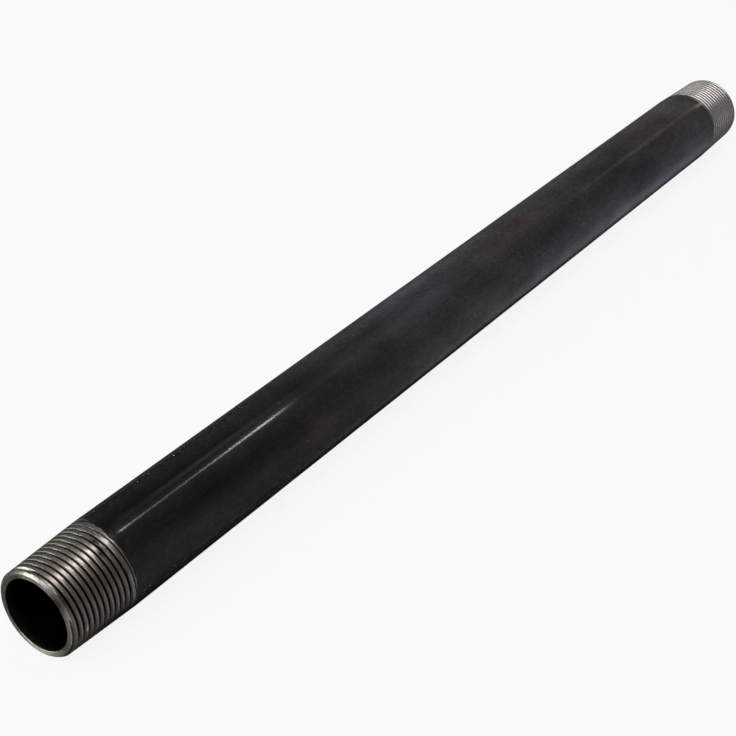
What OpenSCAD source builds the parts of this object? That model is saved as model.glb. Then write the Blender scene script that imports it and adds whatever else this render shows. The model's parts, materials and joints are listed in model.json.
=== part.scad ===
// Straight length of black steel pipe, 3/4 inch nominal size, standard wall.
// Each end is turned to a slight taper, and a right-hand thread is cut into the taper.
// The pipe lies along X, as it rests on a floor, and Z points up.
// The origin is on the floor, under the middle of its length.

/* [Pipe] */
// Length from end face to end face
pipe_l = 381; // [120:1:1200]
// Outside diameter of the plain body
body_od = 26.67; // [26:0.01:27.4]
// Thickness of the tube wall
wall = 2.87; // [2.8:0.01:3.9]

/* [Threaded ends] */
// Length of each threaded end, from the end face to where its cone meets the body
thread_l = 24.4; // [16:0.1:28]
// Length of smooth cone between the last mark of the groove and the body
land_l = 1.4; // [0.5:0.1:4]
// Threads in one inch of length
threads_per_inch = 14; // [11.5:0.5:15]
// Length along the pipe over which a threaded end grows by 1 in diameter
taper_run = 16; // [12:0.5:24]
// Depth of the groove below the flat crests
groove_h = 0.7; // [0.4:0.05:1.2]
// Angle between the two sides of the groove
groove_angle = 60; // [50:1:60]
// Turns over which the groove rises to the surface again, next to the body
run_out_turns = 1.5; // [1:0.5:5]
// Where the groove starts at the end face, in degrees round the pipe from its top
start_angle = 45; // [0:0.5:360]

/* [End faces] */
// Length of the bevel on the outer edge of each end face, along the pipe
bevel_l = 0.6; // [0.2:0.05:1]
// Height of the same bevel, across the wall
bevel_h = 1; // [0.3:0.05:1.2]
// Edge break at the mouth of the bore
mouth_break = 0.1; // [0.05:0.05:0.4]

/* [Hidden] */
$fn = 96;
inch = 25.4;
pitch = inch / threads_per_inch;
body_r = body_od / 2;
bore_r = body_r - wall;
// Radius gained for each millimetre of length from the end face
taper = 0.5 / taper_run;
// Crests at the end face, on a cone that meets the body where the thread ends
end_r = body_r - thread_l * taper;
run_out_l = run_out_turns * pitch;
groove_l = thread_l - land_l;
// Steps in one turn of the groove's cutter
turn_steps = 36;
// How far the cutter stands above the crests
cutter_rise = 0.2;
// What the cutter turns past both ends of the groove, in turns
over_turn = 0.1;

// In these functions z is the distance from the end face
function crest_r(z) = end_r + z * taper;
// Share of the groove's depth that is lost: none in the full thread, all of it at groove_l
function lost_depth(z) = max(0, z - groove_l + run_out_l) / run_out_l;
function floor_r(z) = crest_r(z) - groove_h * (1 - lost_depth(z));

// Outline of one end from the body to the bore, in pairs of radius and distance from the middle
end_outline = [
    [body_r, pipe_l / 2 - thread_l],
    [crest_r(bevel_l), pipe_l / 2 - bevel_l],
    [crest_r(bevel_l) - bevel_h, pipe_l / 2],
    [bore_r + mouth_break, pipe_l / 2],
    [bore_r, pipe_l / 2 - mouth_break]
];

// The same outline for the other end, walked the other way
function other_end(outline) = [for (i = [len(outline) - 1:-1:0]) [outline[i].x, -outline[i].y]];

// Plain tube with both ends tapered and bevelled, standing on Z with its middle at the origin
module blank() {
    rotate_extrude()
        polygon(concat(end_outline, other_end(end_outline)));
}

// V section of the cutter after some turns: its tip on the groove's floor, its top above the crests.
// The radii grow a little, so that the straight steps stay outside the true floor.
function cutter_section(turns) =
    let (
        z = turns * pitch,
        tip = floor_r(z),
        top = crest_r(z) + cutter_rise,
        half_w = (top - tip) * tan(groove_angle / 2),
        grow = 1 / cos(180 / turn_steps)
    )
    [for (p = [[tip, z], [top, z + half_w], [top, z - half_w]])
        [grow * p.x * cos(360 * turns), grow * p.x * sin(360 * turns), p.y]];

// Body swept by the V section, from before the end face to past the last mark of the groove
module groove_cutter() {
    face_half_w = (groove_h + cutter_rise) * tan(groove_angle / 2);
    first = -face_half_w / pitch - over_turn;
    last = groove_l / pitch + over_turn;
    steps = ceil((last - first) * turn_steps);
    points = [for (i = [0:steps]) each cutter_section(first + (last - first) * i / steps)];
    sides = [
        for (i = [0:steps - 1], j = [0:2])
            let (a = 3 * i + j, b = 3 * i + (j + 1) % 3)
                each [[a, b + 3, b], [a, a + 3, b + 3]]
    ];
    first_cap = [[0, 1, 2]];
    last_cap = [[3 * steps, 3 * steps + 2, 3 * steps + 1]];
    polyhedron(points, concat(first_cap, sides, last_cap));
}

// The whole pipe. One groove turned half a turn about Z serves the other end, and stays right hand.
module pipe() {
    color([0.09, 0.09, 0.095])
        translate([0, 0, body_r])
            difference() {
                rotate([0, 90, 0]) blank();
                for (end = [0, 180])
                    rotate([0, 0, end])
                        translate([-pipe_l / 2, 0, 0])
                            rotate([0, 90, 0])
                                rotate([0, 0, 180 + start_angle])
                                    groove_cutter();
            }
}

pipe();
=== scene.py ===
import json
import math

import bpy
import numpy as np
from mathutils import Matrix, Vector


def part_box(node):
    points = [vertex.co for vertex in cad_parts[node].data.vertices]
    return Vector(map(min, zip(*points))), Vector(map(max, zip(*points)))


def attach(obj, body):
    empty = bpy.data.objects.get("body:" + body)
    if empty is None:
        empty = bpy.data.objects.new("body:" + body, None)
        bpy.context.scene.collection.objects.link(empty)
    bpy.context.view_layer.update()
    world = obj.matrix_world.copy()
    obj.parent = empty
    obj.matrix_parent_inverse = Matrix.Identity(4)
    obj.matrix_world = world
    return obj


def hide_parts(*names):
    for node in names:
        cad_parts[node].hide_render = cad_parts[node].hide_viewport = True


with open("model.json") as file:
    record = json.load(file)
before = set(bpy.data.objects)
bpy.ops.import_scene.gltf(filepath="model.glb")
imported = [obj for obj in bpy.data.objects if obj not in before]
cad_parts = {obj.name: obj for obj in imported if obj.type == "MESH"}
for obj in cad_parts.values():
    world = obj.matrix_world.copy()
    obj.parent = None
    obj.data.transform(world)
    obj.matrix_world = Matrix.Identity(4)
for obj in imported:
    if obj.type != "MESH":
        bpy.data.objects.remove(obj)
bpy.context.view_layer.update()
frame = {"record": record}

mm = 0.001
inch = 25.4 * mm
whole = 2 * math.pi                      # one turn

low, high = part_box("pipe")
gauges = {mount["name"]: mount["dims"] for mount in frame["record"]["mounts"]}

# The pipe. Angles go round it from +Y over the top, lengths called depthIn start at an end face.
pipe = dict(
    halfLength=(high.x - low.x) / 2,
    bodyRadius=gauges["body"]["r_mm"] * mm,
    boreRadius=gauges["bore"]["r_mm"] * mm,
    mouthBreak=0.1 * mm,
    columns=144,                         # points round the pipe
    bodyRows=84,
    boreSteps=(0, 0.7, 1.5, 3, 6, 12, 30, 80),   # rows of the bore, in mm from each mouth
    faceRows=6,
    sharpAngle=math.radians(32),         # edges sharper than this stay crisp
    waveHeight=0.018 * mm,               # how uneven the rolled outside is
    waveFade=12,                         # they fade over a twelfth of the body at each end
    waveCount=18,
    waveLongest=150 * mm,
    waveShortest=11 * mm,
    waveRounds=5,
    waveLimit=1.6,                       # higher and deeper waves are cut off here
    seed=7,
)

# One threaded end. The other is the same, turned half round about Z.
thread = dict(
    pitch=inch / 14,
    length=24.4 * mm,                    # from the end face to where the cone meets the body
    land=1.4 * mm,                       # smooth cone after the last mark of the groove
    taper=1 / 32,                        # radius gained along the pipe
    grooveDepth=0.70 * mm,
    flankAngle=math.radians(30),
    rootRound=0.05 * mm,
    crestRound=0.02 * mm,
    runOutTurns=1.5,
    startAngle=math.radians(135),        # where the groove's floor meets the end face
    rowsPerTurn=18,                      # a row falls on each edge of the crest
    edgeGap=0.2,                         # points closer to an edge than this share of a row join it
    bevelLength=0.6 * mm,
    bevelHeight=1.0 * mm,
    zoneLength=26.4 * mm,                # how far the fine mesh reaches
    tearDepth=0.16 * mm,                 # crests torn where the die finished its cut
    tearTurns=4.2,
    tearSeed=11,
    tearCount=26,                        # waves in the noise that tears
    tearLongest=2.2 * mm,
    tearShortest=0.35 * mm,
    tearRounds=40,
    tearFrom=0.75,                       # how high the noise has to be to tear
    tearLimit=1.2,
    nearEdge=22.3 * mm,                  # where bare steel gives way to black scale
    farEdge=20.6 * mm,
    edgeSwing=2.2 * mm,                  # how much further it reaches on one side of the near end
    edgeSwingAngle=math.radians(56),
    edgeSwingWidth=math.radians(32),
    edgeRagged=0.14 * mm,
    edgeSeed=5,
    edgeCount=20,
    edgeRounds=38,
    scratchDark=0.8,
    scratchWidth=0.45,                   # share of half a pitch
)


# Smooth noise: a sum of sine waves over two coordinates. Whole numbers of waves round the pipe
# close on themselves, and along it each wave has its own length and phase.
def waves(along, around, seed, count, longest, shortest, mostRound):
    draw = np.random.default_rng(seed)
    total = np.zeros(np.broadcast(along, around).shape)
    for k in range(count):
        length = longest * (shortest / longest) ** draw.random()
        rounds = draw.integers(0, mostRound + 1)
        phase = whole * draw.random()
        total += np.sin(whole * along / length + rounds * around + phase)
    return total / math.sqrt(count)


# Crest radius: a straight cone from the end face that meets the body at the thread's length.
def crestRadius(depthIn):
    missing = np.maximum(thread["length"] - depthIn, 0)
    return pipe["bodyRadius"] - thread["taper"] * missing


# Groove: a V of straight flanks with a rounded floor. The distance to the nearest floor line sets
# the height over the floor, and a soft minimum joins the flanks to the flat crest.
def threadRadius(depthIn, turnShare):
    pitch = thread["pitch"]
    crest = crestRadius(depthIn)
    runOut = thread["runOutTurns"] * pitch
    lost = np.clip((depthIn - thread["length"] + thread["land"] + runOut) / runOut, 0, 1)
    floor = crest - thread["grooveDepth"] * (1 - lost)
    aside = pitch * np.abs(turnShare - np.round(turnShare))
    reach = np.sqrt(aside ** 2 + thread["rootRound"] ** 2) - thread["rootRound"]
    flank = floor + reach / math.tan(thread["flankAngle"])
    soft = thread["crestRound"]
    radius = crest - soft * np.logaddexp(0, (crest - flank) / soft) * (lost < 1)
    return np.minimum(radius, crest)


# Bevel: a straight line from the end face's outer edge up to the crest.
def bevelRadius(depthIn):
    slope = thread["bevelHeight"] / thread["bevelLength"]
    faceEdge = crestRadius(thread["bevelLength"]) - thread["bevelHeight"]
    return faceEdge + slope * depthIn


# Tears: notches in the last crests, as deep as the noise stands over a limit. They are strongest in
# the middle of the torn turns and fall in a straight line to nothing at both ends.
def tearHeight(depthIn, angle):
    turnsLeft = (thread["length"] - depthIn) / thread["pitch"]
    middle = thread["tearTurns"] / 2
    window = np.clip(1 - np.abs(turnsLeft - middle) / middle, 0, 1)
    rough = waves(depthIn, angle, thread["tearSeed"], thread["tearCount"],
                  thread["tearLongest"], thread["tearShortest"], thread["tearRounds"])
    return thread["tearDepth"] * window * np.clip(rough - thread["tearFrom"], 0, thread["tearLimit"])


# Cylinder coordinates to a point on the pipe, which lies on the floor along X. Y is drawn in by the
# little that the solid's flats fall short of the true circle, so the skin stays inside its box.
def placed(depthIn, radius, angle):
    x = depthIn - pipe["halfLength"]
    y = radius * np.cos(angle) * min(1, high.y / pipe["bodyRadius"])
    return np.stack([x, y, pipe["bodyRadius"] + radius * np.sin(angle)], axis=-1)


# Ribbon: rows follow the helix, so row i and column j lie at pitch (i / rowsPerTurn + j / columns).
# What falls before the end face or past the zone gathers on that edge's own ring of points.
def threadedEnd():
    perTurn = thread["rowsPerTurn"]
    columns = pipe["columns"]
    rows = np.arange(-perTurn, math.ceil(thread["zoneLength"] / thread["pitch"] * perTurn) + 1)
    i, j = np.meshgrid(rows, np.arange(columns), indexing="ij")
    depthIn = thread["pitch"] * (i / perTurn + j / columns)
    nearest = thread["edgeGap"] * thread["pitch"] / perTurn
    before = depthIn < nearest
    past = depthIn > thread["zoneLength"] - nearest
    depthIn = np.where(before, 0, np.where(past, thread["zoneLength"], depthIn))
    angle = thread["startAngle"] + whole * j / columns
    turnShare = depthIn / thread["pitch"] - j / columns
    cut = threadRadius(depthIn, turnShare)
    bevel = bevelRadius(depthIn)
    radius = np.minimum(cut - tearHeight(depthIn, angle), bevel)
    # ids: the two edge rings come first, then the points between them
    inside = ~(before | past)
    ids = np.where(before, j, np.where(past, columns + j, 0))
    ids[inside] = 2 * columns + np.arange(inside.sum())
    count = 2 * columns + inside.sum()
    # how deep a point lies under the crests, and how far aside of the groove: 1 is midway
    sunk = np.where(bevel < cut, 0, crestRadius(depthIn) - cut)
    aside = 2 * np.abs(turnShare - np.round(turnShare))
    ended = depthIn > thread["length"] - thread["land"] - thread["pitch"]
    beside = np.where((bevel < cut) | ended, 1, aside)
    # the last teeth of the die only scratched the skin past the groove's end
    line = 1 - smoothStep(0, thread["scratchWidth"], aside)
    scratch = thread["scratchDark"] * thread["grooveDepth"] * line
    sunk = np.maximum(sunk, scratch * ended)
    grid = dict(depthIn=depthIn, radius=radius, angle=angle, sunk=sunk, beside=beside)
    flat = {name: np.zeros(count) for name in grid}
    for name, values in grid.items():
        flat[name][ids.ravel()] = values.ravel()
    # past the last column a row goes on as the row one turn further in
    ahead = np.full(len(rows), columns)
    ahead[:-perTurn] = ids[perTurn:, 0]
    ids = np.column_stack([ids, ahead])
    quads = np.stack([ids[:-1, :-1], ids[:-1, 1:], ids[1:, 1:], ids[1:, :-1]], axis=-1).reshape(-1, 4)
    return flat, quads


# Faces between rings of points, taken in order along the profile.
def bridge(rings):
    first, second = rings[:-1], rings[1:]
    turned = np.roll(first, -1, axis=1), np.roll(second, -1, axis=1)
    return np.stack([first, turned[0], turned[1], second], axis=-1).reshape(-1, 4)


# Turns a quad with two equal corners into a triangle and drops what has no area.
def tidyFaces(quads):
    same = quads == np.roll(quads, -1, axis=1)
    full = quads[same.sum(axis=1) == 0].tolist()
    once = quads[same.sum(axis=1) == 1]
    keep = ~same[same.sum(axis=1) == 1]
    return full + once[keep].reshape(-1, 3).tolist()


# The whole pipe is one closed skin. Its profile runs from the near mouth over the face, the thread,
# the body and the far end, and back through the bore. Every ring has the same angles.
def makePipe():
    columns = pipe["columns"]
    angle = thread["startAngle"] + whole * np.arange(columns) / columns
    # the far end's rings count the other way round, from its own start
    shift = round((2 * thread["startAngle"] - math.pi) * columns / whole)
    farColumn = (-shift - np.arange(columns)) % columns
    end, endQuads = threadedEnd()
    nearPoints = placed(end["depthIn"], end["radius"], end["angle"])
    farPoints = nearPoints * np.array([-1, -1, 1])
    perEnd = len(nearPoints)
    points = [nearPoints, farPoints]
    sunk = [end["sunk"], end["sunk"]]
    beside = [end["beside"], end["beside"]]
    quads = [endQuads, endQuads + perEnd]
    count = 2 * perEnd
    rimNear, stopNear = np.arange(columns), columns + np.arange(columns)
    rimFar, stopFar = perEnd + farColumn, perEnd + columns + farColumn

    # rings of points at these depths and radii, outside the threaded ends: gives back their ids
    def addRings(depthIn, radius):
        nonlocal count
        depthIn, radius = np.broadcast_arrays(depthIn, radius)
        fresh = placed(depthIn, radius, angle[None, :])
        points.append(fresh.reshape(-1, 3))
        sunk.append(np.zeros(fresh.shape[0] * columns))
        beside.append(np.ones(fresh.shape[0] * columns))
        ids = count + np.arange(fresh.shape[0] * columns).reshape(-1, columns)
        count += ids.size
        return ids

    fullLength = 2 * pipe["halfLength"]
    # body rows, with dips of up to waveHeight times waveLimit that fade towards the threads
    share = np.arange(1, pipe["bodyRows"])[:, None] / pipe["bodyRows"]
    depthIn = thread["zoneLength"] + share * (fullLength - 2 * thread["zoneLength"])
    fade = np.minimum(1, pipe["waveFade"] * np.minimum(share, 1 - share))
    uneven = waves(depthIn, angle[None, :], pipe["seed"], pipe["waveCount"],
                   pipe["waveLongest"], pipe["waveShortest"], pipe["waveRounds"])
    limit = pipe["waveLimit"]
    dips = pipe["waveHeight"] * fade * (limit + np.clip(uneven, -limit, limit)) / 2
    body = addRings(depthIn, pipe["bodyRadius"] - dips)
    quads.append(bridge(np.vstack([stopNear[None], body, stopFar[None]])))
    # end faces: from the rim in to the mouth, whose edge is broken
    t = (np.arange(1, pipe["faceRows"] + 1) / pipe["faceRows"])[:, None]
    mouth = pipe["boreRadius"] + pipe["mouthBreak"]
    rim = end["radius"][:columns][None, :]
    inward = rim + (mouth - rim) * t
    nearFace = addRings(0, inward)
    farFace = addRings(fullLength, inward[:, farColumn])
    quads.append(bridge(np.vstack([nearFace[::-1], rimNear[None]])))
    quads.append(bridge(np.vstack([rimFar[None], farFace])))
    # bore, from the far mouth back to the near one
    steps = pipe["mouthBreak"] + np.array(pipe["boreSteps"]) * mm
    depthIn = np.concatenate([fullLength - steps, steps[::-1]])[:, None]
    bore = addRings(depthIn, np.full((1, columns), pipe["boreRadius"]))
    quads.append(bridge(np.vstack([farFace[-1:], bore, nearFace[-1:]])))

    points = np.concatenate(points)
    mesh = bpy.data.meshes.new("pipe")
    mesh.from_pydata(points.tolist(), [], tidyFaces(np.concatenate(quads)))
    mesh.validate()
    mesh.shade_smooth()
    mesh.set_sharp_from_angle(angle=pipe["sharpAngle"])
    sunkShare = np.concatenate(sunk) / thread["grooveDepth"]
    bare, oilAndShade, gloss, tint = finishMasks(points, sunkShare, np.concatenate(beside))
    for name, values in dict(bare=bare, oilAndShade=oilAndShade, gloss=gloss).items():
        write = mesh.attributes.new(name, "FLOAT", "POINT")
        write.data.foreach_set("value", values.astype(np.float32))
    # the tint holds the patches: stains and tones, and painted highlights, reflections and shade
    write = mesh.attributes.new("tint", "FLOAT_COLOR", "POINT")
    opaque = np.column_stack([tint, np.ones(len(tint))])
    write.data.foreach_set("color", opaque.astype(np.float32).ravel())
    piece = bpy.data.objects.new("blackPipe", mesh)
    bpy.context.scene.collection.objects.link(piece)
    return piece


# Where the skin differs in colour: stains and tones, and also painted highlights, reflections and
# shade. Each patch is a soft oval on the outside: at is the share of the length from the near end,
# spread its reach along, angle the degrees round from +Y over the top, width its reach around, and
# colour what it multiplies the finish by.
scalePatches = dict(
    greenNear=dict(at=0.12, spread=0.22, angle=110, width=120, colour=(0.97, 1.02, 0.92)),
    # painted reflection: lighter along the upper-left side
    leftPaintedSheen=dict(at=0.55, spread=0.5, angle=72, width=20, colour=(2.1, 2.1, 2.1)),
    # painted reflection: lighter along the lower side
    lowSide=dict(at=0.5, spread=0.9, angle=175, width=32, colour=(1.4, 1.4, 1.4)),
    # painted shade: dark along the lower side near the threads
    nearLow=dict(at=0.05, spread=0.2, angle=210, width=9, colour=(0.15, 0.15, 0.15)),
    # painted shade: dark bands either side of the lamp's streak near the threads
    darkLine=dict(at=0.14, spread=0.10, angle=139, width=9, colour=(0.62, 0.62, 0.60)),
    darkUpper=dict(at=0.07, spread=0.05, angle=95, width=9, colour=(0.45, 0.46, 0.45)),
    # painted sheen along the lamp's streak, and painted shade just either side of it
    streakPaintedSheen=dict(at=0.16, spread=0.07, angle=103.5, width=2.5, colour=(2.3, 2.3, 2.25)),
    overLine=dict(at=0.16, spread=0.07, angle=98, width=3, colour=(0.5, 0.5, 0.5)),
    underLine=dict(at=0.16, spread=0.07, angle=108, width=2.5, colour=(0.5, 0.5, 0.5)),
    # painted highlight: a green fringe where the lamp's streak ends
    greenFringe=dict(at=0.222, spread=0.03, angle=113, width=4, colour=(1.5, 1.75, 1.35)),
    blueMiddle=dict(at=0.43, spread=0.07, angle=95, width=60, colour=(1.10, 1.12, 1.28)),
    brownFar=dict(at=0.585, spread=0.045, angle=107, width=15, colour=(1.45, 1.12, 1.05)),
    brownLow=dict(at=0.265, spread=0.02, angle=162, width=14, colour=(1.5, 1.15, 1.05)),
    brownEnd=dict(at=0.85, spread=0.05, angle=110, width=35, colour=(1.3, 1.08, 1.1)),
    violetLow=dict(at=0.75, spread=0.20, angle=165, width=20, colour=(1.15, 1.12, 1.40)),
    # painted reflection: lighter along the lower side, most towards the far end
    lowMiddle=dict(at=0.33, spread=0.17, angle=197, width=8, colour=(1.9, 1.9, 1.9)),
    lowFar=dict(at=0.78, spread=0.25, angle=195, width=15, colour=(3.8, 3.7, 4.2)),
    # painted sheen: lighter and bluer on the upper left of the middle
    blueLeft=dict(at=0.42, spread=0.09, angle=73, width=15, colour=(1.7, 1.7, 1.85)),
    brassSmear=dict(at=0.939, spread=0.007, angle=119, width=2, colour=(7.0, 6.6, 5.6)),
    brownSmear=dict(at=0.935, spread=0.010, angle=108, width=8, colour=(1.5, 1.35, 1.1)),
    farDust=dict(at=0.905, spread=0.030, angle=110, width=100, colour=(1.9, 1.9, 1.9)),
    # painted highlight: a thin light line near the angle of the lamp's streak
    thinLine=dict(at=0.80, spread=0.12, angle=116.5, width=2.5, colour=(1.9, 1.9, 1.9)),
    # painted shade: a dark line along the lower edge
    blackEdge=dict(at=0.45, spread=0.55, angle=206, width=4, colour=(0.2, 0.2, 0.2)),
)
steelPatches = dict(
    # painted shade: darker, greener crests on the upper left of the near thread
    greenLeft=dict(at=0.036, spread=0.028, angle=60, width=20, colour=(0.85, 0.91, 0.82)),
    # painted shade: dark along the lower side of the near thread
    nearLowSide=dict(at=0.045, spread=0.04, angle=209, width=14, colour=(0.12, 0.12, 0.12)),
    # painted highlight: lighter, pinker steel where the lamp's glints fall on the crests
    paintedGlintTop=dict(at=0.035, spread=0.05, angle=111, width=15, colour=(2.0, 1.82, 1.84)),
    # painted shade, with a brown tone: darker, browner threads on the right side
    brownRight=dict(at=0.035, spread=0.035, angle=145, width=22, colour=(0.60, 0.55, 0.49)),
    tornLeft=dict(at=0.0490, spread=0.0022, angle=107, width=8, colour=(0.02, 0.005, 0.005)),
    tornRight=dict(at=0.0480, spread=0.0026, angle=117, width=8, colour=(0.02, 0.005, 0.005)),
    tornFar=dict(at=0.0450, spread=0.0022, angle=121, width=7, colour=(0.08, 0.03, 0.03)),
    brownRim=dict(at=0.003, spread=0.003, angle=137, width=13, colour=(0.3, 0.22, 0.15)),
    # painted highlight and shade round the end face: lighter in a sector low down, darker elsewhere
    faceLow=dict(at=0, spread=0.0004, angle=273, width=26, colour=(4.4, 4.2, 3.8)),
    faceLeft=dict(at=0, spread=0.0004, angle=10, width=48, colour=(0.45, 0.43, 0.34)),
    faceShade=dict(at=0, spread=0.0004, angle=67, width=18, colour=(0.40, 0.42, 0.43)),
    faceDark=dict(at=0, spread=0.0006, angle=138, width=13, colour=(0.30, 0.29, 0.26)),
    faceRight=dict(at=0, spread=0.0004, angle=190, width=25, colour=(0.72, 0.74, 0.66)),
    # painted highlights on the bevel
    bevelRight=dict(at=0.0009, spread=0.0006, angle=183, width=24, colour=(3.2, 3.2, 2.95)),
    bevelTop=dict(at=0.0009, spread=0.0006, angle=108, width=12, colour=(1.6, 1.55, 1.6)),
    bevelLeft=dict(at=0.0004, spread=0.0006, angle=77, width=13, colour=(3.2, 3.35, 3.0)),
    # painted shade: a dark line across the bevel between its highlight and the first flank's
    bevelLine=dict(at=0.0019, spread=0.0008, angle=72, width=20, colour=(0.12, 0.13, 0.11)),
    # painted highlight on the first flank
    firstFlank=dict(at=0.0044, spread=0.0010, angle=72, width=14, colour=(5.0, 5.1, 4.7)),
    nick=dict(at=0.013, spread=0.0014, angle=186, width=3, colour=(4, 4, 3.6)),
    farBright=dict(at=0.97, spread=0.05, angle=115, width=110, colour=(1.4, 1.4, 1.4)),
    # painted reflection: lighter on the lower side and the upper left of the far thread
    farLow=dict(at=0.97, spread=0.05, angle=172, width=25, colour=(2.6, 2.55, 2.5)),
    farUp=dict(at=0.97, spread=0.05, angle=75, width=20, colour=(3.6, 3.6, 3.5)),
    lilacTop=dict(at=0.97, spread=0.05, angle=105, width=25, colour=(1.0, 0.92, 1.02)),
    purpleRight=dict(at=0.97, spread=0.05, angle=165, width=30, colour=(0.95, 0.88, 1.05)),
)
glossPatches = dict(
    leftEdge=dict(at=0.5, spread=3, angle=48, width=18, colour=(0.03, 0.03, 0.03)),
    rightEdge=dict(at=0.5, spread=3, angle=216, width=20, colour=(0.03, 0.03, 0.03)),
    rim=dict(at=0.063, spread=0.004, angle=113, width=16, colour=(0.1, 0.1, 0.1)),
    dot=dict(at=0.0700, spread=0.0035, angle=113, width=4, colour=(2.4, 2.4, 2.3)),
    middle=dict(at=0.125, spread=0.048, angle=113, width=20, colour=(0.27, 0.27, 0.27)),
    end=dict(at=0.230, spread=0.022, angle=113, width=20, colour=(1.4, 1.4, 1.4)),
    wiped=dict(at=0.15, spread=0.14, angle=113, width=5, colour=(2.4, 2.5, 2.4)),
    stop=dict(at=0.270, spread=0.026, angle=113, width=12, colour=(0.01, 0.01, 0.01)),
)
oilAndShadePatches = dict(
    # no oil or painted shade on the first flank, which carries a painted highlight
    firstFlank=dict(at=0.0044, spread=0.0012, angle=72, width=16, colour=(0, 0, 0)),
)
masks = dict(
    edgeBlur=0.25 * mm,
    boreBare=2.5 * mm,                   # how far the tool wiped the bore
    boreSlack=0.4 * pipe["mouthBreak"],  # what lies no further out than this still counts as bore
    farLift=1.6,                         # the far half is this much lighter
    liftFrom=0.17,
    liftTo=0.55,
    oilyShadedSide=math.radians(185),          # the side where thick oil and painted shade darken the threads
    oilyShadedWidth=math.radians(45),
    oilAndShadeFrom=0.42,                      # shares of the groove's depth where oil and painted shade start and are full
    oilAndShadeFull=0.68,
    oilyShadedFrom=0.04,
    oilyShadedFull=0.45,
    leftSide=math.radians(50),           # here oil and painted shade fill the whole groove too, but the crests stay light
    leftWidth=math.radians(25),
    leftFrom=0.0,
    leftFull=0.15,
    boreDark=0.15,
    lineFrom=0.60,                       # on that oily, shaded side only the middle of a crest stays light
    lineFull=0.92,
    # how dark oil and painted shade make the sides of a crest there
    sideOilShade=0.75,
)


# Bell around the pipe: a power of the cosine, exp(p (cos(a) - 1)), that drops to 1/e at the width.
def bell(turned, width):
    return np.exp((np.cos(turned) - 1) / (1 - math.cos(width)))


# Soft step from 0 to 1: t t (3 - 2 t), where t is the share of the way from start to stop.
def smoothStep(start, stop, value):
    t = np.clip((value - start) / (stop - start), 0, 1)
    return t * t * (3 - 2 * t)


# Product of the patches, each a bell curve along the pipe times a bell around it.
def patchTint(patches, share, angle):
    tint = np.ones((len(share), 3))
    for patch in patches.values():
        along = np.exp(-((share - patch["at"]) / patch["spread"]) ** 2)
        around = bell(angle - math.radians(patch["angle"]), math.radians(patch["width"]))
        tint *= 1 + (along * around)[:, None] * (np.array(patch["colour"]) - 1)
    return tint


# Bare is 1 where the lathe cut and 0 on the black scale. Its edge is a swung circle made ragged by
# waves. Oil and painted shade rise with the depth in the groove, and from nearer the crest on the oily
# side.
def finishMasks(points, sunk, beside):
    x, y, z = points[:, 0], points[:, 1], points[:, 2] - pipe["bodyRadius"]
    angle = np.arctan2(z, y)
    share = x / (2 * pipe["halfLength"]) + 0.5
    fromEnd = pipe["halfLength"] - np.abs(x)
    endAngle = np.where(x < 0, angle, math.pi - angle)
    edge = np.where(x < 0, thread["nearEdge"], thread["farEdge"])
    swing = thread["edgeSwing"] * bell(endAngle - thread["edgeSwingAngle"], thread["edgeSwingWidth"])
    edge = edge + swing * (x < 0)
    # this noise only goes round, so its two lengths along the pipe count for nothing
    ragged = waves(x * 0, endAngle, thread["edgeSeed"], thread["edgeCount"], 1, 1, thread["edgeRounds"])
    edge = edge + thread["edgeRagged"] * ragged
    bare = np.clip((edge - fromEnd) / masks["edgeBlur"] + 0.5, 0, 1)
    inBore = np.hypot(y, z) < pipe["boreRadius"] + masks["boreSlack"]
    bare = np.where(inBore, 1 - smoothStep(0, masks["boreBare"], fromEnd), bare)
    oilyShaded = bell(angle - masks["oilyShadedSide"], masks["oilyShadedWidth"])
    left = bell(angle - masks["leftSide"], masks["leftWidth"])

    # the usual depth, moved towards that of the oily, shaded side and that of the left side
    def oilAndShadeDepth(usual, onOilyShaded, onLeft):
        return usual + (onOilyShaded - usual) * oilyShaded + (onLeft - usual) * left

    start = oilAndShadeDepth(masks["oilAndShadeFrom"], masks["oilyShadedFrom"], masks["leftFrom"])
    full = oilAndShadeDepth(masks["oilAndShadeFull"], masks["oilyShadedFull"], masks["leftFull"])
    oilAndShade = smoothStep(start, full, sunk)
    oilAndShade = oilAndShade * patchTint(oilAndShadePatches, share, angle)[:, 0]
    sides = 1 - smoothStep(masks["lineFrom"], masks["lineFull"], beside)
    oilAndShade = np.maximum(oilAndShade, masks["sideOilShade"] * oilyShaded * sides)
    lift = 1 + masks["farLift"] * smoothStep(masks["liftFrom"], masks["liftTo"], share)
    scale = patchTint(scalePatches, share, angle) * lift[:, None]
    steel = patchTint(steelPatches, share, angle)
    tint = scale + bare[:, None] * (steel - scale)
    gloss = patchTint(glossPatches, share, angle)[:, 0]
    # painted shade: the bore's colour and lacquer fall from full at its mouth to boreDark further in
    shade = (1 - masks["boreDark"]) * smoothStep(0, masks["boreBare"], fromEnd)
    dim = np.where(inBore, 1 - shade, 1)
    tint, gloss = tint * dim[:, None], gloss * dim
    return bare, oilAndShade, gloss, tint


# A new node. A setting goes to the node's own value of that name, or else to the input of that name.
def addNode(tree, kind, **settings):
    node = tree.nodes.new(kind)
    for name, value in settings.items():
        if hasattr(node, name):
            setattr(node, name, value)
        else:
            node.inputs[name].default_value = value
    return node


# The sum, product or larger one of two values, each of them a number or another node's output.
def calc(tree, operation, first, second):
    node = addNode(tree, "ShaderNodeMath", operation=operation)
    for socket, value in zip(node.inputs, (first, second)):
        if isinstance(value, (int, float)):
            socket.default_value = value
        else:
            tree.links.new(value, socket)
    return node.outputs[0]


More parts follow.
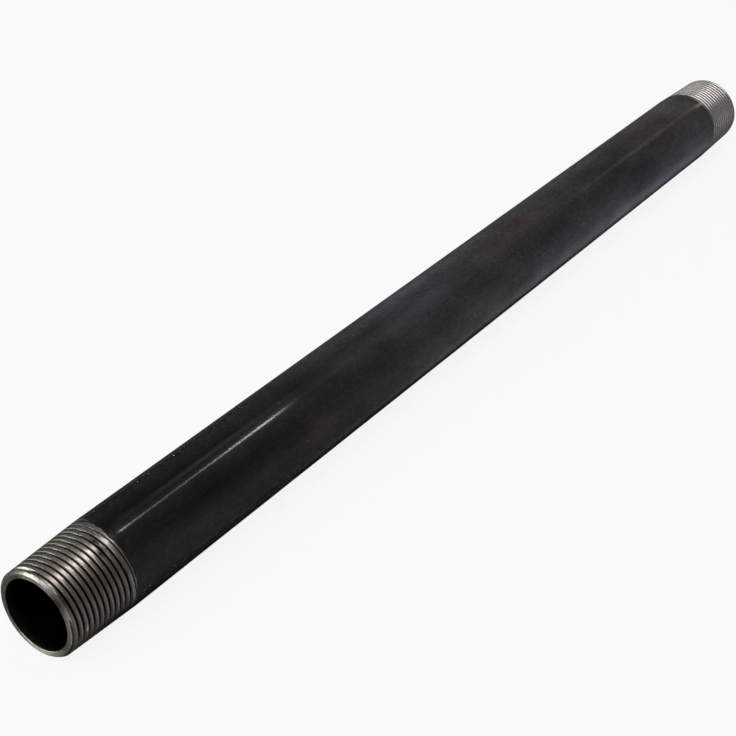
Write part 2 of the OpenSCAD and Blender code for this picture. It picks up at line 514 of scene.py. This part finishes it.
# Two colours in one: the first times (1 - amount) plus the second times the amount, or the product
# of both where the kind is MULTIPLY. Inputs 0, 6 and 7 are the amount and the two colours.
def blend(tree, amount, first, second, kind="MIX"):
    node = addNode(tree, "ShaderNodeMix", data_type="RGBA", blend_type=kind)
    sockets = node.inputs[0], node.inputs[6], node.inputs[7]
    for socket, value in zip(sockets, (amount, first, second)):
        if isinstance(value, (int, float)):
            socket.default_value = value
        elif isinstance(value, tuple):
            socket.default_value = (*value, 1)
        else:
            tree.links.new(value, socket)
    return node.outputs[2]


# Straight line from one range to another: lowIn becomes lowOut, highIn becomes highOut, and what
# lies outside stops at these two.
def spread(tree, value, lowIn, highIn, lowOut, highOut):
    node = addNode(tree, "ShaderNodeMapRange")
    tree.links.new(value, node.inputs["Value"])
    node.inputs["From Min"].default_value = lowIn
    node.inputs["From Max"].default_value = highIn
    node.inputs["To Min"].default_value = lowOut
    node.inputs["To Max"].default_value = highOut
    return node.outputs[0]


# Noise whose features have about this size in metres, times the stretch along each axis.
def grain(tree, place, size, stretch, detail):
    mapping = addNode(tree, "ShaderNodeMapping")
    mapping.inputs["Scale"].default_value = [1 / (size * longer) for longer in stretch]
    tree.links.new(place, mapping.inputs["Vector"])
    noise = addNode(tree, "ShaderNodeTexNoise", noise_dimensions="3D")
    noise.inputs["Scale"].default_value = 1
    noise.inputs["Detail"].default_value = detail
    noise.inputs["Roughness"].default_value = finish["grainRoughness"]
    tree.links.new(mapping.outputs[0], noise.inputs["Vector"])
    return noise.outputs[0]


finish = dict(
    scaleColour=(0.017, 0.017, 0.0166),
    steelDark=(0.16, 0.155, 0.139),
    steelLight=(0.24, 0.234, 0.211),
    # the dark of the grooves: oil colour that also stands in for their shade (painted shade)
    oilAndShadeColour=(0.028, 0.024, 0.020),
    edgeTint=0.35,
    coatRoughness=0.075,
    scaleRoughness=0.48,
    steelRoughness=0.28,
    metalBump=0.015 * mm,
    coatBump=0.007 * mm,
    grainRoughness=0.55,
)
# The noises on the skin, with their stretch along X, Y and Z
grains = dict(
    clouds=dict(size=9 * mm, stretch=(2.2, 1, 1), detail=3),
    fine=dict(size=0.7 * mm, stretch=(2.5, 1, 1), detail=4),
    flecks=dict(size=1.1 * mm, stretch=(1, 1, 1), detail=1),
    turning=dict(size=0.35 * mm, stretch=(1, 3, 3), detail=3),
    pores=dict(size=0.28 * mm, stretch=(1.6, 1, 1), detail=2),
)
# What they do: low and high noise, then what it becomes at these two
effects = dict(
    clouds=(0.3, 0.7, 0.72, 1.3),        # times the colour of the scale
    fine=(0.3, 0.7, 0.8, 1.2),
    flecks=(0.70, 0.78, 1, 2),
    turning=(0.35, 0.65, 0, 1),          # from the dark to the light steel
    rough=(0.3, 0.7, -0.05, 0.05),       # added to the roughness
    specks=(0.35, 0.65, 0.15, 0.25),     # weight of the lacquer
)


# The colour goes from scale to steel with the bare mask, and from steel to dark with the oil-and-shade
# mask, which is oil in the groove and painted shade.
# The roughness goes from scale to steel too, plus a little noise. The lacquer's weight is its specks
# times the gloss mask.
def pipeFinish():
    material = bpy.data.materials.new("blackPipeSteel")
    material.use_nodes = True
    tree = material.node_tree
    shader = tree.nodes["Principled BSDF"]
    place = addNode(tree, "ShaderNodeTexCoord").outputs["Object"]
    bare = addNode(tree, "ShaderNodeAttribute", attribute_name="bare").outputs["Fac"]
    oilAndShade = addNode(tree, "ShaderNodeAttribute", attribute_name="oilAndShade").outputs["Fac"]
    gloss = addNode(tree, "ShaderNodeAttribute", attribute_name="gloss").outputs["Fac"]
    tint = addNode(tree, "ShaderNodeAttribute", attribute_name="tint").outputs["Color"]
    # black scale: times the tint, which holds stains and tones and also painted highlights, reflections
    # and shade, with cloudy and fine mottling
    clouds = grain(tree, place, **grains["clouds"])
    fine = grain(tree, place, **grains["fine"])
    cloudy = spread(tree, clouds, *effects["clouds"])
    mottled = calc(tree, "MULTIPLY", cloudy, spread(tree, fine, *effects["fine"]))
    flecks = grain(tree, place, **grains["flecks"])
    mottled = calc(tree, "MULTIPLY", mottled, spread(tree, flecks, *effects["flecks"]))
    scale = blend(tree, 1.0, finish["scaleColour"], tint, "MULTIPLY")
    scale = blend(tree, 1.0, scale, mottled, "MULTIPLY")
    # bare steel: brighter on the crests, darkened towards the groove's floor by oil and painted shade
    turning = spread(tree, grain(tree, place, **grains["turning"]), *effects["turning"])
    steel = blend(tree, turning, finish["steelDark"], finish["steelLight"])
    steel = blend(tree, 1.0, steel, tint, "MULTIPLY")
    steel = blend(tree, oilAndShade, steel, finish["oilAndShadeColour"])
    tree.links.new(blend(tree, bare, scale, steel), shader.inputs["Base Color"])
    rough = spread(tree, fine, *effects["rough"])
    base = spread(tree, bare, 0, 1, finish["scaleRoughness"], finish["steelRoughness"])
    tree.links.new(calc(tree, "ADD", rough, base), shader.inputs["Roughness"])
    shader.inputs["Metallic"].default_value = 1
    edge = finish["edgeTint"]
    shader.inputs["Specular Tint"].default_value = (edge, edge, edge, 1)
    # lacquer, broken up into specks
    specks = spread(tree, fine, *effects["specks"])
    tree.links.new(calc(tree, "MULTIPLY", specks, gloss), shader.inputs["Coat Weight"])
    shader.inputs["Coat Roughness"].default_value = finish["coatRoughness"]
    pores = grain(tree, place, **grains["pores"])
    bumps = (("Normal", fine, finish["metalBump"]), ("Coat Normal", pores, finish["coatBump"]))
    for normal, height, depth in bumps:
        bump = addNode(tree, "ShaderNodeBump", Strength=1.0, Distance=depth)
        tree.links.new(height, bump.inputs["Height"])
        tree.links.new(bump.outputs[0], shader.inputs[normal])
    return material


# Camera: it looks down on the near end from its left side
shot = dict(
    target=Vector((-18.60, 20.46, -9.95)) * mm,
    distance=554.7 * mm,
    heading=math.radians(55.149),        # from +Y towards +X
    lookDown=math.radians(31.800),
    lens=82.325,
    sensor=36,
    clipStart=10 * mm,
)


# The line of sight is the heading's sine and cosine, both times the cosine of the look down, and
# the camera stands its distance back from the target along that line.
def makeCamera():
    flat = math.cos(shot["lookDown"])
    ahead, aside = math.sin(shot["heading"]) * flat, math.cos(shot["heading"]) * flat
    forward = Vector((ahead, aside, -math.sin(shot["lookDown"])))
    data = bpy.data.cameras.new("shotCamera")
    data.lens = shot["lens"]
    data.sensor_width = shot["sensor"]
    data.clip_start = shot["clipStart"]
    camera = bpy.data.objects.new("shotCamera", data)
    camera.location = shot["target"] - forward * shot["distance"]
    camera.rotation_euler = forward.to_track_quat("-Z", "Y").to_euler()
    bpy.context.scene.collection.objects.link(camera)
    bpy.context.scene.camera = camera


# Studio. A lamp is given by where it stands, what it points at, its width and height in metres,
# and its brightness, where 1 is as bright as white paper in full light.
studio = dict(
    floorRadius=8.0,
    floorRings=(0.05, 0.3, 1.0),         # shares of that radius
    floorPoints=64,                      # in each ring
    floorColour=(0.62, 0.62, 0.62),
    floorWhite=0.88,                     # share of the floor that is plain white to the eye
    skyLevel=0.4,
)
lamps = dict(
    stripLamp=dict(at=(0.459, -0.079, 0.817), aim=(-0.14, 0, 0.02), wide=0.198, tall=0.03, level=18.0),
    tipLamp=dict(at=(0.525, -0.074, 0.770), aim=(-0.14, 0, 0.02), wide=0.045, tall=0.065, level=9.0),
    bevelLamp=dict(at=(-1.09, 0.63, 0.18), aim=(-0.19, 0, 0.02), wide=0.65, tall=0.16, level=6.0),
    threadLamp=dict(at=(0.310, -0.089, 0.922), aim=(-0.14, 0, 0.02), wide=0.14, tall=0.34, level=3.6),
    sideLamp=dict(at=(-0.35, 1.1, 0.30), aim=(-0.15, 0, 0.02), wide=0.9, tall=0.5, level=2.0),
    frontLamp=dict(at=(-1.3, -0.4, 1.5), aim=(0, 0, 0), wide=1.4, tall=1.4, level=4.0),
)


# A lamp's power is pi times its area times its level.
def makeLamps():
    for name, lamp in lamps.items():
        data = bpy.data.lights.new(name, "AREA")
        data.shape = "RECTANGLE"
        data.size, data.size_y = lamp["wide"], lamp["tall"]
        data.energy = math.pi * lamp["wide"] * lamp["tall"] * lamp["level"]
        light = bpy.data.objects.new(name, data)
        light.location = lamp["at"]
        toward = Vector(lamp["aim"]) - Vector(lamp["at"])
        # the lamp's width lies along the pipe as far as it can
        back = -toward.normalized()
        side = (Vector((1, 0, 0)) - back * back.x).normalized()
        light.rotation_euler = Matrix((side, back.cross(side), back)).transposed().to_euler()
        bpy.context.scene.collection.objects.link(light)


# An even white sky, and a floor whose look is white times floorWhite plus lit paper times the rest.
# Reflections in the pipe see only the lit paper.
def makeStudio():
    scene = bpy.context.scene
    scene.view_settings.view_transform = "Standard"
    world = bpy.data.worlds.new("studio")
    world.use_nodes = True
    world.node_tree.nodes["Background"].inputs["Color"].default_value = (1, 1, 1, 1)
    world.node_tree.nodes["Background"].inputs["Strength"].default_value = studio["skyLevel"]
    scene.world = world
    # floor: a disc of rings, wide enough to fill the view
    count, rings = studio["floorPoints"], len(studio["floorRings"])
    turns = whole * np.arange(count) / count
    radii = studio["floorRadius"] * np.array(studio["floorRings"])
    ring = np.stack([np.cos(turns), np.sin(turns), 0 * turns], axis=-1)
    points = np.concatenate([[[0, 0, 0]], (radii[:, None, None] * ring).reshape(-1, 3)])
    ids = 1 + np.arange(rings * count).reshape(rings, count)
    inner, outer = ids[:-1], ids[1:]
    quads = np.stack([inner, outer, np.roll(outer, -1, 1), np.roll(inner, -1, 1)], axis=-1)
    fan = np.stack([np.zeros(count, int), ids[0], np.roll(ids[0], -1)], axis=-1)
    mesh = bpy.data.meshes.new("studioFloor")
    mesh.from_pydata(points.tolist(), [], fan.tolist() + quads.reshape(-1, 4).tolist())
    floor = bpy.data.objects.new("studioFloor", mesh)
    scene.collection.objects.link(floor)
    material = bpy.data.materials.new("paleFloor")
    material.use_nodes = True
    tree = material.node_tree
    tree.nodes.remove(tree.nodes["Principled BSDF"])
    paper = addNode(tree, "ShaderNodeBsdfDiffuse")
    paper.inputs["Color"].default_value = (*studio["floorColour"], 1)
    white = addNode(tree, "ShaderNodeEmission")
    path = addNode(tree, "ShaderNodeLightPath")
    seen = calc(tree, "MAXIMUM", path.outputs["Is Camera Ray"], path.outputs["Is Transmission Ray"])
    mixed = addNode(tree, "ShaderNodeMixShader")
    tree.links.new(calc(tree, "MULTIPLY", seen, studio["floorWhite"]), mixed.inputs[0])
    tree.links.new(paper.outputs[0], mixed.inputs[1])
    tree.links.new(white.outputs[0], mixed.inputs[2])
    tree.links.new(mixed.outputs[0], tree.nodes["Material Output"].inputs["Surface"])
    mesh.materials.append(material)


makeCamera()
print("camera set")
makeStudio()
makeLamps()
print("studio and lamps set")
blackPipe = makePipe()
blackPipe.data.materials.append(pipeFinish())
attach(blackPipe, "root")
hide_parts("pipe")
print("pipe made,", sum(len(face.vertices) - 2 for face in blackPipe.data.polygons), "triangles")
